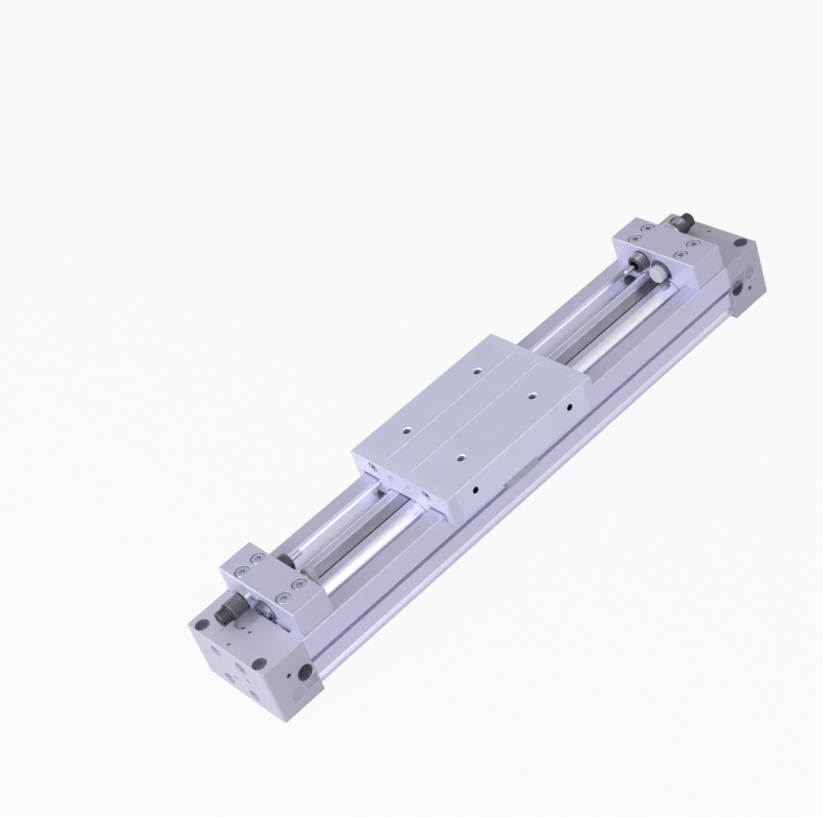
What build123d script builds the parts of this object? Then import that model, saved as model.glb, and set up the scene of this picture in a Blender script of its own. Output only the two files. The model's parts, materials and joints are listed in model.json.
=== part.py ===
"""Guided rodless cylinder: 20 mm bore, 150 mm stroke, with a stroke adjusting unit at each end.

X runs along the stroke, Z is up, and the origin lies under the middle of the cylinder,
in the plane that its two head covers stand on. The front side is the one at -Y.
Pieces are drawn for the +X end and turned or mirrored for the -X end, called left here.
Lengths are millimetres.
"""

import os

from build123d import *

os.makedirs("parts", exist_ok=True)

# Driving sizes of the whole cylinder
bore_diameter = 20.0
stroke = 150.0
table_length = 100.0
end_room = 25.0  # length of tube beyond the table's travel at each end
tube_width = 60.0
bore_height = 17.0  # height of the bore's axis above the feet
table_rest_x = -7.0  # where the table stands in the rest pose

bore_radius = bore_diameter / 2
tube_length = stroke + table_length + 2 * end_room
half_tube = tube_length / 2
half_width = tube_width / 2
bore_top = bore_height + bore_radius

# Guide profile of the tube: insets from its sides, drops from the top of its rails
tube_bottom = 4.0  # height of the tube above the feet
ridge_wall = 5.0  # metal over the bore, below the bands
ridge_inset = 21.4  # edge of the flat on the ridge
ridge_round_out = 3.3  # a point on the round of the ridge, beside and below its flat
ridge_round_down = 1.4
flank_out = 5.4  # where that round meets the straight flank
flank_down = 3.8
rail_rise = 2.0  # how far the two guide rails stand above the ridge
rail_corner = 0.5
rail_chamfer = 2.0
lip_inset = 11.5  # inner edge of each rail
vee_inset = 5.2  # deepest line of the guide groove
vee_drop = 7.0
vee_overrun = 1.0  # sections that fill the groove are drawn this far past it and cut back
root_outer_inset = 8.4
root_inner_inset = 9.8
root_drop = 13.4
panel_drop = 12.7  # lower edge of the upper side panel
slot_height = 3.9  # sensor slot under the panel
slot_depth = 5.0
lower_inset = 1.5  # the lower side face stands back by this much
foot_groove_rise = 1.7
foot_groove_height = 3.5
foot_groove_depth = 2.0
air_passage_inset = 10.5
air_passage_rise = 7.0
air_passage_radius = 2.6

ridge_flat = half_width - ridge_inset  # half width of the flat on the ridge
ridge_top = bore_top + ridge_wall
ridge_round_y = ridge_flat + ridge_round_out
ridge_round_z = ridge_top - ridge_round_down
flank_y = ridge_flat + flank_out
flank_z = ridge_top - flank_down
rail_top = ridge_top + rail_rise  # height of the two guide rails above the feet
lip_y = half_width - lip_inset
vee_y = half_width - vee_inset
vee_z = rail_top - vee_drop
past_vee = vee_y + vee_overrun
root_outer_y = half_width - root_outer_inset
root_inner_y = half_width - root_inner_inset
root_z = rail_top - root_drop
panel_bottom = rail_top - panel_drop
groove_bottom = panel_bottom - slot_height
lower_face = half_width - lower_inset
foot_groove_low = tube_bottom + foot_groove_rise
foot_groove_high = foot_groove_low + foot_groove_height
air_passage_y = half_width - air_passage_inset
air_passage_z = tube_bottom + air_passage_rise

# Slit and bands
slit_half = 2.0
belt_half = 3.5
belt_cover = 0.6  # thickness of the belt over the top of the bore
belt_top = bore_top + belt_cover
belt_thickness = 0.8
belt_overlap = 0.7  # how far the belt reaches below the top of the bore at its edges
band_half = 3.8
band_thickness = 0.3
band_seat_depth = 0.5
band_seat = ridge_top - band_seat_depth
band_side_gap = 0.4
belt_side_gap = 0.05
belt_rise = 3.6  # the belt's underside above the bore's axis, where it dips under the yoke
band_rise = 3.4  # the band's underside above the ridge, where it passes over the yoke
belt_low = bore_height + belt_rise
band_high = ridge_top + band_rise
band_level_room = 4.0  # the bands stay level this far past the yoke's neck
band_ramp_room = 1.0  # and are back in their seats this far inside the yoke's ends
clamped_band = 9.0  # length of the dust band held in each head cover
clamped_belt = 8.0

# Head covers
cover_length = 25.0
cover_drop = 0.3  # the covers are this much lower than the rails
cover_height = rail_top - cover_drop
cover_corner = 1.6
cover_edge = 0.6
spigot_length = 7.0
spigot_gap = 0.15
seal_groove_depth = 1.65
seal_groove_width = 2.0
chamber_radius = 5.0
chamber_length = 8.0
boss_radius = 3.2
boss_seat = 7.0
boss_reach = 15.0  # how far the cushion boss stands out of the spigot
boss_edge = 0.8
port_radius = 4.28  # core of the pipe thread
port_depth = 9.0
port_from_tube = 5.0
port_chamfer = 0.5
passage_radius = 1.5
mount_hole_from_end = 4.5
mount_hole_pitch = 45.0
mount_hole_radius = 2.25
mount_sink_radius = 3.75
mount_sink_depth = 5.0
needle_hole_radius = 1.3
needle_hole_depth = 9.0
needle_from_tube = 13.0
needle_offset = 5.7  # height of the needle above or below the bore's axis
needle_recess = 1.0
needle_end_room = 1.0
needle_slot_width = 0.4
needle_slot_depth = 0.5
cover_screw_y = 9.8
cover_screw_dz = 9.5
cover_sink_radius = 3.7
cover_sink_depth = 5.0
cover_thread_length = 14.0
cover_thread_room = 1.0  # the tapped holes are this much deeper than the screws reach
end_plug_radius = 1.4
end_plug_depth = 3.5
end_plug_recess = 1.0
end_plug_key = 1.3
end_plug_key_depth = 1.0
end_plug_places = ((-2.0, 13.0), (11.0, 18.8))
port_plug_length = 5.9
port_plug_recess = 0.6
port_plug_key = 5.0
port_plug_key_depth = 3.0

# Belt clamps let into the head covers
clamp_half = 11.0
clamp_length = 23.0
clamp_edge = 0.2
clamp_relief_near = 0.8
clamp_relief_far = 10.2
clamp_relief_length = 12.5
clamp_relief_depth = 1.1
clamp_screw_radius = 1.0
clamp_screw_recess = 1.4
clamp_screw_reach = 1.8  # how far the screw stands in the cover
clamp_thread_depth = 2.0
clamp_key_radius = 0.5
clamp_key_depth = 0.5
clamp_screw_places = ((10.3, -3.5), (10.3, 2.5), (21.0, -0.5))

# Metric screws with socket heads: shank radius, head radius, head height, hexagon across flats
m4_shank, m4_head, m4_head_height, m4_key = 2.0, 3.5, 4.0, 3.0
m3_shank, m3_head, m3_head_height, m3_key = 1.5, 2.75, 3.0, 2.5
screw_edge = 0.3
key_share = 0.6  # share of a head's height that its socket takes
thread_gap = 0.05
sink_gap = 0.3

# Stroke adjusting units
holder_length = 20.0
holder_end_gap = 0.3  # the right holder stops this far short of its head cover
left_unit_shift = 1.2  # the left unit stands this much further from its cover
holder_side_step = 1.0
holder_half_width = half_width - holder_side_step
holder_height = 15.0
holder_top = rail_top + holder_height
holder_edge = 0.5
holder_top_edge = 0.4
holder_screw_dx = 5.0
holder_screw_inset = 2.5  # from the inner edge of the rail
holder_screw_y = lip_y - holder_screw_inset
holder_sink_depth = 4.3
holder_screw_length = 15.5
absorber_inset = 9.6  # from the inner edge of the rail
absorber_y = lip_y - absorber_inset
absorber_rise = 7.0
absorber_z = rail_top + absorber_rise
absorber_radius = 4.8
absorber_reach_in = 6.0  # what stands out of the holder towards the table
absorber_reach_out = 18.5
absorber_nose = 0.6
absorber_tail_radius = 4.0
absorber_tail_length = 5.5
absorber_slot_width = 1.2
absorber_slot_depth = 1.4
absorber_mouth_radius = 2.9
absorber_mouth_depth = 3.0
absorber_rear_wall = 8.0
absorber_sink_gap = 0.6  # round the body, in the holder's face towards the table
absorber_sink_depth = 2.4
shock_rod_radius = 1.4
shock_stroke = 6.0
shock_rod_rest = 1.0  # what stays out of the body when the rod is pushed in
shock_rod_hidden = 14.0
shock_rod_gap = 0.1
shock_rod_edge = 0.3
lock_nut_flats = 13.2
lock_nut_thickness = 4.0
lock_nut_turn = 15.0  # degrees
lock_nut_corner = 0.6  # how far the turned corners stand out beyond the flats
stop_from_absorber = 12.9
stop_y = absorber_y - stop_from_absorber
stop_rise = 3.8
stop_z = rail_top + stop_rise
stop_radius = 2.5
stop_reach_in = 5.0  # from the right holder to the face of the bumper
stop_reach_out = 5.5
left_stop_shift = 4.0  # the left stop is screwed this much further in than the right one
stop_key = 2.5
stop_key_depth = 3.0
stop_nut_flats = 8.0
stop_nut_thickness = 3.0
washer_radius = 5.2
washer_thickness = 1.6
pocket_gap = 1.6  # round the washer, in both faces of the holder
bumper_radius = 4.5
bumper_length = 4.0
bumper_wall = 1.0
bumper_edge = 0.8
stop_head_radius = 3.4
stop_head_length = 2.2
fixing_block_inner = 7.8
fixing_block_drop = 7.8
fixing_block_floor = rail_top - fixing_block_drop
fixing_block_ridge_gap = 0.4
fixing_block_edge = 0.3

# Slide table
table_rise = 12.0
skirt_drop = 5.0
table_top = rail_top + table_rise
skirt_bottom = rail_top - skirt_drop
skirt_gap = 0.4
skirt_wall = 5.6
table_width = tube_width + 2 * (skirt_gap + skirt_wall)
rail_gap = 1.0
plate_thickness = 5.5
plate_gap = 0.45
plate_drop = 9.0
plate_floor = rail_top - plate_drop
table_edge = 0.7
mount_pitch_x = 50.0
mount_pitch_y = 40.0
mount_thread_radius = 2.1
mount_thread_depth = 9.0
mount_chamfer = 0.4
line_groove_width = 0.5
line_groove_depth = 0.25
line_groove_places = (13.1, -4.8)
side_screw_dx = 33.0
side_screw_drop = 7.0
side_screw_z = table_top - side_screw_drop
side_screw_radius = 1.6
side_screw_length = 5.0
side_screw_recess = 2.0
side_key_radius = 0.8
side_key_depth = 1.5
plate_screw_y = 20.0
plate_screw_drop = 4.0
plate_screw_z = table_top - plate_screw_drop
plate_small_y = 7.0
plate_small_drop = 5.5
plate_small_z = table_top - plate_small_drop
plate_small_radius = 1.6
plate_screw_length = 12.0
plate_screw_recess = 0.2
plate_small_sink_radius = 2.1
plate_small_recess = 1.0
plate_small_key = 1.5
plate_small_key_depth = 1.5
plate_small_reach = 10.0
scraper_thickness = 1.5
scraper_gap = 0.15
scraper_rise = 4.5
scraper_inset = 0.4
scraper_top = rail_top + scraper_rise
scraper_half = half_width - scraper_inset
bearing_gap = 0.12
bearing_wall = 1.5
bearing_drop = 10.8
bearing_lap = 2.3  # how far the shoe reaches past the rail's inner edge
bearing_floor = rail_top - bearing_drop
bearing_inner = lip_y - bearing_lap
bearing_step = 4.0  # the shoe is cut away this far from its inner edge, below the rail
bearing_rise = 2.0
table_leg_drop = 9.8
tunnel_side_room = 0.6
tunnel_roof_room = 1.0
table_leg_floor = rail_top - table_leg_drop
tunnel_half = band_half + tunnel_side_room
tunnel_top = band_high + tunnel_roof_room

# Piston assembly inside the bore
piston_gap = 0.3
ring_gap = 0.1
yoke_end_room = 0.5  # the yoke ends this far inside the end plates
yoke_neck_half = 1.7
yoke_neck_length = 20.0
yoke_neck_root = 1.0
yoke_head_half = 8.0
yoke_head_room = 0.8  # below the band
yoke_wing_gap = 0.5
yoke_wing_rise = 3.0
yoke_bridge_gap = 1.0  # over the belt
belt_tunnel_side = 0.4
belt_tunnel_room = 1.0
piston_length = 16.0
piston_edge = 0.5
packing_depth = 1.4
packing_width = 2.4
packing_from_end = 4.0
wear_ring_width = 3.0
wear_ring_depth = 1.0
wear_ring_from_packing = 6.0
cushion_bore_radius = 4.0
cushion_bore_depth = 12.0

yoke_half = table_length / 2 - plate_thickness - yoke_end_room
band_level = yoke_neck_length / 2 + band_level_room
band_ramp_end = yoke_half - band_ramp_room
piston_half = yoke_half + piston_length
yoke_head_top = band_high - yoke_head_room
yoke_wing_inner = band_half + yoke_wing_gap
yoke_wing_top = band_high + yoke_wing_rise
yoke_bridge_low = belt_low + belt_thickness + yoke_bridge_gap
belt_tunnel_half = belt_half + belt_tunnel_side
belt_tunnel_floor = belt_low - belt_tunnel_room
wear_ring_from_end = packing_from_end + wear_ring_from_packing

# Magnet carrier under the front skirt
carrier_from_middle = -15.0  # its low end, from the middle of the table
carrier_length = 21.0
carrier_height = 4.7
carrier_side_gap = 0.8
magnet_length = 6.1
magnet_inset = 0.9
carrier_edge = 0.6

carrier_low_x = table_rest_x + carrier_from_middle
carrier_high_x = carrier_low_x + carrier_length
carrier_low_z = skirt_bottom - carrier_height

# Sizes that follow from the ones above
end_x = half_tube + cover_length
table_low_x = table_rest_x - table_length / 2
table_high_x = table_rest_x + table_length / 2
body_low_x = table_low_x + plate_thickness
body_high_x = table_high_x - plate_thickness
holder_outer = half_tube - holder_end_gap
holder_inner = holder_outer - holder_length
holder_x = (holder_inner + holder_outer) / 2
absorber_inner_end = holder_inner - absorber_reach_in
absorber_outer_end = holder_outer + absorber_reach_out
stop_tip = holder_inner - stop_reach_in
stop_outer_end = holder_outer + stop_reach_out
stop_pocket_depth = washer_thickness + stop_nut_thickness
stop_pocket_radius = washer_radius + pocket_gap


def bar(face, x_from, x_to):
    """A bar along X with the section that the face shows."""
    return extrude(Pos(x_from, 0, 0) * face, amount=x_to - x_from, dir=(1, 0, 0))


def section(points):
    """A section across X from its corners (y, z)."""
    return Plane.YZ * make_face(Polyline(*points, close=True))


def block(x_from, x_to, y_from, y_to, z_from, z_to):
    """A box between two corners."""
    middle = Pos((x_from + x_to) / 2, (y_from + y_to) / 2, (z_from + z_to) / 2)
    return middle * Box(x_to - x_from, y_to - y_from, z_to - z_from)


def rod_x(radius, x_from, x_to, y=0.0, z=0.0):
    """A round bar along X."""
    return Pos((x_from + x_to) / 2, y, z) * Rot(0, 90, 0) * Cylinder(radius, x_to - x_from)


def rod_y(radius, y_from, y_to, x=0.0, z=0.0):
    """A round bar along Y."""
    return Pos(x, (y_from + y_to) / 2, z) * Rot(90, 0, 0) * Cylinder(radius, y_to - y_from)


def rod_z(radius, z_from, z_to, x=0.0, y=0.0):
    """A round bar along Z."""
    return Pos(x, y, (z_from + z_to) / 2) * Cylinder(radius, z_to - z_from)


def hexagon_x(flats, x_from, x_to, y=0.0, z=0.0):
    """A hexagon bar along X."""
    face = Plane.YZ * RegularPolygon(flats / 2, 6, major_radius=False)
    return Pos(0, y, z) * bar(face, x_from, x_to)


def socket_screw(shank, head, head_height, key, length):
    """A socket head screw that hangs down Z, with the underside of its head at the origin."""
    screw = rod_z(head, 0, head_height) + rod_z(shank, -length, 0)
    screw = chamfer(screw.edges().sort_by(Axis.Z)[-1], screw_edge)
    depth = head_height * key_share
    socket = extrude(RegularPolygon(key / 2, 6, major_radius=False), amount=depth)
    return screw - Pos(0, 0, head_height - depth) * socket


def mirrored(piece):
    """The same piece for the left end, mirrored in the middle plane across X."""
    return mirror(piece, about=Plane.YZ)


def turned(piece):
    """The same piece for the left end, turned half round about Z."""
    return Rot(0, 0, 180) * piece


def left_unit(piece):
    """The same piece of the left adjusting unit, which stands further from its head cover."""
    return Pos(left_unit_shift, 0, 0) * mirrored(piece)


def left_stop(piece):
    """The same piece of the left stop, which is screwed further in."""
    return Pos(left_stop_shift, 0, 0) * left_unit(piece)


def both_sides(half):
    """A piece and its mirror image at the other side of the middle plane along X."""
    return half + mirror(half, about=Plane.XZ)


def guide_outline():
    """The outside of the tube's section: ridge, guide grooves, rails, side panels and foot."""
    groove_y = half_width - slot_depth
    foot_y = lower_face - foot_groove_depth
    right = [
        (flank_y, flank_z),
        (root_inner_y, root_z),
        (root_outer_y, root_z),
        (vee_y, vee_z),
        (lip_y, rail_top - rail_chamfer),
        (lip_y + rail_chamfer, rail_top),
        (half_width - rail_corner, rail_top),
        (half_width, rail_top - rail_corner),
        (half_width, panel_bottom),
        (groove_y, panel_bottom),
        (groove_y, groove_bottom),
        (lower_face, groove_bottom),
        (lower_face, foot_groove_high),
        (foot_y, foot_groove_high),
        (foot_y, foot_groove_low),
        (lower_face, foot_groove_low),
        (lower_face, tube_bottom),
    ]
    left = [(-y, z) for y, z in reversed(right)]
    edges = Polyline(*right, *left)
    for side in (1, -1):
        shoulder = (side * ridge_flat, ridge_top)
        crown, foot = (side * ridge_round_y, ridge_round_z), (side * flank_y, flank_z)
        edges += ThreePointArc(shoulder, crown, foot)
    edges += Line((-ridge_flat, ridge_top), (ridge_flat, ridge_top))
    return Plane.YZ * make_face(edges.edges())


def clear_of_guide(gap):
    """The tube's section grown by a running gap."""
    return offset(guide_outline(), amount=gap, kind=Kind.INTERSECTION)


def cylinder_tube():
    """The extruded barrel with its guide rails, bore, slit and seats of the two bands."""
    tube = bar(guide_outline(), -half_tube, half_tube)
    tube -= rod_x(bore_radius, -half_tube, half_tube, z=bore_height)
    belt_room = belt_half + belt_side_gap
    tube -= block(-half_tube, half_tube, -belt_room, belt_room, bore_height, belt_top)
    tube -= block(-half_tube, half_tube, -slit_half, slit_half, bore_height, ridge_top)
    band_room = band_half + band_side_gap
    tube -= block(-half_tube, half_tube, -band_room, band_room, band_seat, ridge_top)
    for side in (1, -1):
        passage_y = side * air_passage_y
        tube -= rod_x(air_passage_radius, -half_tube, half_tube, passage_y, air_passage_z)
        for level in (1, -1):
            y = side * cover_screw_y
            z = bore_height + level * cover_screw_dz
            for end in (1, -1):
                inner = end * (half_tube - cover_thread_length - cover_thread_room)
                tube -= rod_x(m4_shank + thread_gap, *sorted((inner, end * half_tube)), y, z)
    return tube


def head_cover():
    """The right head cover, with ports at both sides and a spigot in the bore."""
    cover = block(half_tube, end_x, -half_width, half_width, 0, cover_height)
    outer = cover.faces().sort_by(Axis.X)[-1]
    cover = fillet(outer.edges().filter_by(Axis.Z), cover_corner)
    foot = cover.faces().sort_by(Axis.Z)[0].edges().filter_by(Axis.X)
    cover = fillet(foot, cover_corner)
    crown = cover.faces().sort_by(Axis.Z)[-1].edges().filter_by(Axis.X)
    cover = fillet(crown, cover_edge)
    spigot_end = half_tube - spigot_length
    spigot_radius = bore_radius - spigot_gap
    cover += rod_x(spigot_radius, spigot_end, half_tube, z=bore_height)
    groove_x = half_tube - spigot_length / 2
    groove_low, groove_high = groove_x - seal_groove_width / 2, groove_x + seal_groove_width / 2
    groove = rod_x(bore_radius, groove_low, groove_high, z=bore_height)
    core = rod_x(spigot_radius - seal_groove_depth, spigot_end, half_tube, z=bore_height)
    cover -= groove - core
    chamber_end = half_tube + chamber_length
    cover -= rod_x(chamber_radius, spigot_end, chamber_end, z=bore_height)
    cover -= rod_x(boss_radius + thread_gap, chamber_end, chamber_end + boss_seat, z=bore_height)
    port_x = half_tube + port_from_tube
    needle_x = half_tube + needle_from_tube
    for side in (1, -1):
        mouth, floor = side * half_width, side * (half_width - port_depth)
        cover -= rod_y(port_radius, *sorted((mouth, floor)), port_x, bore_height)
        cover -= rod_y(passage_radius, *sorted((floor, 0)), port_x, bore_height)
        lead_y = side * (half_width - port_chamfer / 2)
        lead = Cone(port_radius, port_radius + port_chamfer, port_chamfer)
        cover -= Pos(port_x, lead_y, bore_height) * Rot(-90 * side, 0, 0) * lead
        needle_z = bore_height + side * needle_offset
        inner = side * (half_width - needle_hole_depth)
        cover -= rod_y(needle_hole_radius, *sorted((mouth, inner)), needle_x, needle_z)
        x, y = end_x - mount_hole_from_end, side * mount_hole_pitch / 2
        cover -= rod_z(mount_hole_radius, 0, cover_height, x, y)
        cover -= rod_z(mount_sink_radius, cover_height - mount_sink_depth, cover_height, x, y)
        for level in (1, -1):
            screw_y = side * cover_screw_y
            screw_z = bore_height + level * cover_screw_dz
            cover -= rod_x(m4_shank + thread_gap, half_tube, end_x, screw_y, screw_z)
            cover -= rod_x(cover_sink_radius, end_x - cover_sink_depth, end_x, screw_y, screw_z)
    for y, z in end_plug_places:
        cover -= rod_x(end_plug_radius, end_x - end_plug_depth, end_x, y, z)
    cover -= block(half_tube, half_tube + clamp_length, -clamp_half, clamp_half, band_seat, cover_height)
    belt_room = belt_half + belt_side_gap
    belt_low_edge = bore_top - belt_overlap
    cover -= block(half_tube, half_tube + clamped_belt, -belt_room, belt_room, belt_low_edge, belt_top)
    for x, y in clamp_screw_places:
        thread_low = band_seat - clamp_thread_depth
        cover -= rod_z(clamp_screw_radius, thread_low, band_seat, half_tube + x, y)
    return cover


def belt_clamp():
    """The plate that holds the band's end down, flush in the top of the right head cover."""
    plate = block(half_tube, half_tube + clamp_length, -clamp_half, clamp_half, band_seat, cover_height)
    plate = chamfer(plate.faces().sort_by(Axis.Z)[-1].edges(), clamp_edge)
    band_end, band_roof = half_tube + clamped_band, band_seat + band_thickness
    plate -= block(half_tube, band_end, -band_half, band_half, band_seat, band_roof)
    relief_radius = (clamp_relief_far - clamp_relief_near) / 2
    relief_y = -(clamp_relief_far + clamp_relief_near) / 2
    relief_floor = cover_height - clamp_relief_depth
    round_x = half_tube + clamp_relief_length - relief_radius
    plate -= rod_z(relief_radius, relief_floor, cover_height, round_x, relief_y)
    near, far = relief_y - relief_radius, relief_y + relief_radius
    plate -= block(half_tube, round_x, near, far, relief_floor, cover_height)
    for x, y in clamp_screw_places:
        plate -= rod_z(clamp_screw_radius, band_seat, cover_height, half_tube + x, y)
    return plate


def belt_clamp_screws():
    """Set screws of one belt clamp, sunk in their holes."""
    screws = []
    top = cover_height - clamp_screw_recess
    foot = band_seat - clamp_screw_reach
    for x, y in clamp_screw_places:
        screw = rod_z(clamp_screw_radius - thread_gap, foot, top, half_tube + x, y)
        key = rod_z(clamp_key_radius, top - clamp_key_depth, top, half_tube + x, y)
        screws.append(screw - key)
    return screws


def cover_screws():
    """The four screws of the right head cover."""
    length = cover_length - cover_sink_depth + cover_thread_length
    screw = socket_screw(m4_shank, m4_head, m4_head_height, m4_key, length)
    screws = []
    for side in (1, -1):
        for level in (1, -1):
            y, z = side * cover_screw_y, bore_height + level * cover_screw_dz
            screws.append(Pos(end_x - cover_sink_depth, y, z) * Rot(0, 90, 0) * screw)
    return screws


def cover_seal():
    """The ring that seals the right spigot in the bore."""
    middle = half_tube - spigot_length / 2
    low, high = middle - seal_groove_width / 2, middle + seal_groove_width / 2
    inner = bore_radius - spigot_gap - seal_groove_depth
    ring = rod_x(bore_radius - thread_gap, low, high, z=bore_height)
    return ring - rod_x(inner, low, high, z=bore_height)


def cushion_boss():
    """The spear that closes the piston's cushion bore at the end of the stroke."""
    seat_end = half_tube + chamber_length + boss_seat
    tip = half_tube - spigot_length - boss_reach
    boss = rod_x(boss_radius, tip, seat_end, z=bore_height)
    return chamfer(boss.edges().sort_by(Axis.X)[0], boss_edge)


def cushion_needles():
    """The two cushion needles of the right head cover, one at each side."""
    needles = []
    x = half_tube + needle_from_tube
    half_slot = needle_slot_width / 2
    reach = needle_hole_radius
    for side in (1, -1):
        z = bore_height + side * needle_offset
        outer = side * (half_width - needle_recess)
        inner = side * (half_width - needle_hole_depth + needle_end_room)
        needle = rod_y(needle_hole_radius - thread_gap, *sorted((outer, inner)), x, z)
        floor = outer - side * needle_slot_depth
        needle -= block(x - half_slot, x + half_slot, *sorted((outer, floor)), z - reach, z + reach)
        needles.append(needle)
    return needles


def end_plugs():
    """Small plugs in the end face of the right head cover."""
    plugs = []
    face_x = end_x - end_plug_recess
    for y, z in end_plug_places:
        plug = rod_x(end_plug_radius - thread_gap, end_x - end_plug_depth, face_x, y, z)
        plugs.append(plug - hexagon_x(end_plug_key, face_x - end_plug_key_depth, face_x, y, z))
    return plugs


def port_plug():
    """The plug in the back port of a head cover, for the right end."""
    x = half_tube + port_from_tube
    outer = half_width - port_plug_recess
    plug = rod_y(port_radius - thread_gap, outer - port_plug_length, outer, x, bore_height)
    key = Plane.XZ * RegularPolygon(port_plug_key / 2, 6, major_radius=False)
    return plug - Pos(x, outer, bore_height) * extrude(key, amount=port_plug_key_depth, dir=(0, -1, 0))


def dipped_strip(half, level_low, level_high, seat_low, seat_high, reach):
    """A strip along X whose middle stretch is shifted up or down at the piston yoke."""
    x = table_rest_x
    near, far = band_level, band_ramp_end
    lower = [(-reach, seat_low), (x - far, seat_low), (x - near, level_low)]
    lower += [(x + near, level_low), (x + far, seat_low), (reach, seat_low)]
    upper = [(-reach, seat_high), (x - far, seat_high), (x - near, level_high)]
    upper += [(x + near, level_high), (x + far, seat_high), (reach, seat_high)]
    face = Plane.XZ * make_face(Polyline(*lower, *reversed(upper), close=True))
    return extrude(Pos(0, -half, 0) * face, amount=2 * half, dir=(0, 1, 0))


def seal_belt():
    """The inner belt that closes the slit from inside the bore."""
    reach = half_tube + clamped_belt
    seat_low = bore_top - belt_overlap
    belt = dipped_strip(belt_half, belt_low, belt_low + belt_thickness, seat_low, belt_top, reach)
    belt -= rod_x(bore_radius, -reach, table_rest_x - band_ramp_end, z=bore_height)
    belt -= rod_x(bore_radius, table_rest_x + band_ramp_end, reach, z=bore_height)
    return belt


def dust_seal_band():
    """The outer steel band that covers the slit."""
    reach = half_tube + clamped_band
    high = band_seat + band_thickness
    return dipped_strip(band_half, band_high, band_high + band_thickness, band_seat, high, reach)


def holder_screw_places():
    """Where the screws of the right holder stand."""
    places = []
    for dx in (1, -1):
        for side in (1, -1):
            places.append((holder_x + dx * holder_screw_dx, side * holder_screw_y))
    return places


def adjuster_holder():
    """The block across the right end of the rails that carries the shock absorber and the stop."""
    half = holder_half_width
    holder = block(holder_inner, holder_outer, -half, half, rail_top, holder_top)
    holder = fillet(holder.edges().filter_by(Axis.Z), holder_edge)
    holder = chamfer(holder.faces().sort_by(Axis.Z)[-1].edges(), holder_top_edge)
    low_y, high_y = stop_y - stop_pocket_radius, stop_y + stop_pocket_radius
    for face_x, inward in ((holder_inner, 1), (holder_outer, -1)):
        near, far = sorted((face_x, face_x + inward * stop_pocket_depth))
        holder -= rod_x(stop_pocket_radius, near, far, stop_y, stop_z)
        holder -= block(near, far, low_y, high_y, rail_top, stop_z)
    bolt_hole, body_hole = stop_radius + thread_gap, absorber_radius + thread_gap
    holder -= rod_x(body_hole, holder_inner, holder_outer, absorber_y, absorber_z)
    holder -= rod_x(bolt_hole, holder_inner, holder_outer, stop_y, stop_z)
    sink_radius, sink_end = absorber_radius + absorber_sink_gap, holder_inner + absorber_sink_depth
    holder -= rod_x(sink_radius, holder_inner, sink_end, absorber_y, absorber_z)
    for x, y in holder_screw_places():
        holder -= rod_z(m4_shank + thread_gap, rail_top, holder_top, x, y)
        holder -= rod_z(m4_head + sink_gap, holder_top - holder_sink_depth, holder_top, x, y)
    return holder


def holder_screws():
    """The four screws of the right holder."""
    screw = socket_screw(m4_shank, m4_head, m4_head_height, m4_key, holder_screw_length)
    return [Pos(x, y, holder_top - holder_sink_depth) * screw for x, y in holder_screw_places()]


def fixing_blocks():
    """The two blocks in the guide grooves that the right holder is screwed down to."""
    outline = [
        (fixing_block_inner, rail_top),
        (lip_y, rail_top),
        (past_vee, rail_top - rail_chamfer),
        (past_vee, fixing_block_floor),
        (fixing_block_inner, fixing_block_floor),
    ]
    rail_foot = lip_y - rail_chamfer
    ridge_side = [
        (0, fixing_block_floor),
        (0, rail_top),
        (rail_foot, rail_top),
        (rail_foot, fixing_block_floor),
    ]
    face = section(outline) - clear_of_guide(thread_gap)
    face -= clear_of_guide(fixing_block_ridge_gap) & section(ridge_side)
    half = bar(face.faces().sort_by(Axis.Z)[-1], holder_inner, holder_outer)
    half = chamfer(half.faces().sort_by(Axis.Z)[-1].edges(), fixing_block_edge)
    for x, y in holder_screw_places():
        half -= rod_z(m4_shank + thread_gap, fixing_block_floor, rail_top, x, y)
    return both_sides(half)


def shock_absorber_body():
    """The right shock absorber's threaded body, without its rod."""
    y, z = absorber_y, absorber_z
    inner, outer = absorber_inner_end, absorber_outer_end
    body = rod_x(absorber_radius, inner, outer - absorber_tail_length, y, z)
    body += rod_x(absorber_tail_radius, outer - absorber_tail_length, outer, y, z)
    ends = body.edges().filter_by(GeomType.CIRCLE).sort_by(Axis.X)
    body = chamfer([ends[0], ends[-1]], absorber_nose)
    body -= rod_x(shock_rod_radius + shock_rod_gap, inner, outer - absorber_rear_wall, y, z)
    body -= rod_x(absorber_mouth_radius, inner, inner + absorber_mouth_depth, y, z)
    reach, half_slot = absorber_tail_radius, absorber_slot_width / 2
    slot_from = outer - absorber_slot_depth
    return body - block(slot_from, outer, y - reach, y + reach, z - half_slot, z + half_slot)


def shock_rod():
    """The rod of the right shock absorber, pushed in by the table's end plate."""
    tip = absorber_inner_end - shock_stroke - shock_rod_rest
    hidden_end = absorber_inner_end + shock_rod_hidden
    rod = rod_x(shock_rod_radius, tip, hidden_end, absorber_y, absorber_z)
    return chamfer(rod.edges().filter_by(GeomType.CIRCLE).sort_by(Axis.X)[0], shock_rod_edge)


def shock_lock_nut():
    """The hexagon nut that locks the right shock absorber at the outer side of its holder."""
    high = holder_outer + lock_nut_thickness
    nut = Rot(lock_nut_turn, 0, 0) * hexagon_x(lock_nut_flats, holder_outer, high)
    nut &= rod_x(lock_nut_flats / 2 + lock_nut_corner, holder_outer, high)
    nut -= rod_x(absorber_radius + thread_gap, holder_outer, high)
    return Pos(0, absorber_y, absorber_z) * nut


def adjusting_bolt():
    """The right stop bolt with the head that carries the bumper."""
    neck = stop_tip + bumper_wall + stop_head_length
    bolt = rod_x(stop_radius, neck, stop_outer_end, stop_y, stop_z)
    bolt += rod_x(stop_head_radius, neck - stop_head_length, neck, stop_y, stop_z)
    return bolt - hexagon_x(stop_key, stop_outer_end - stop_key_depth, stop_outer_end, stop_y, stop_z)


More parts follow.
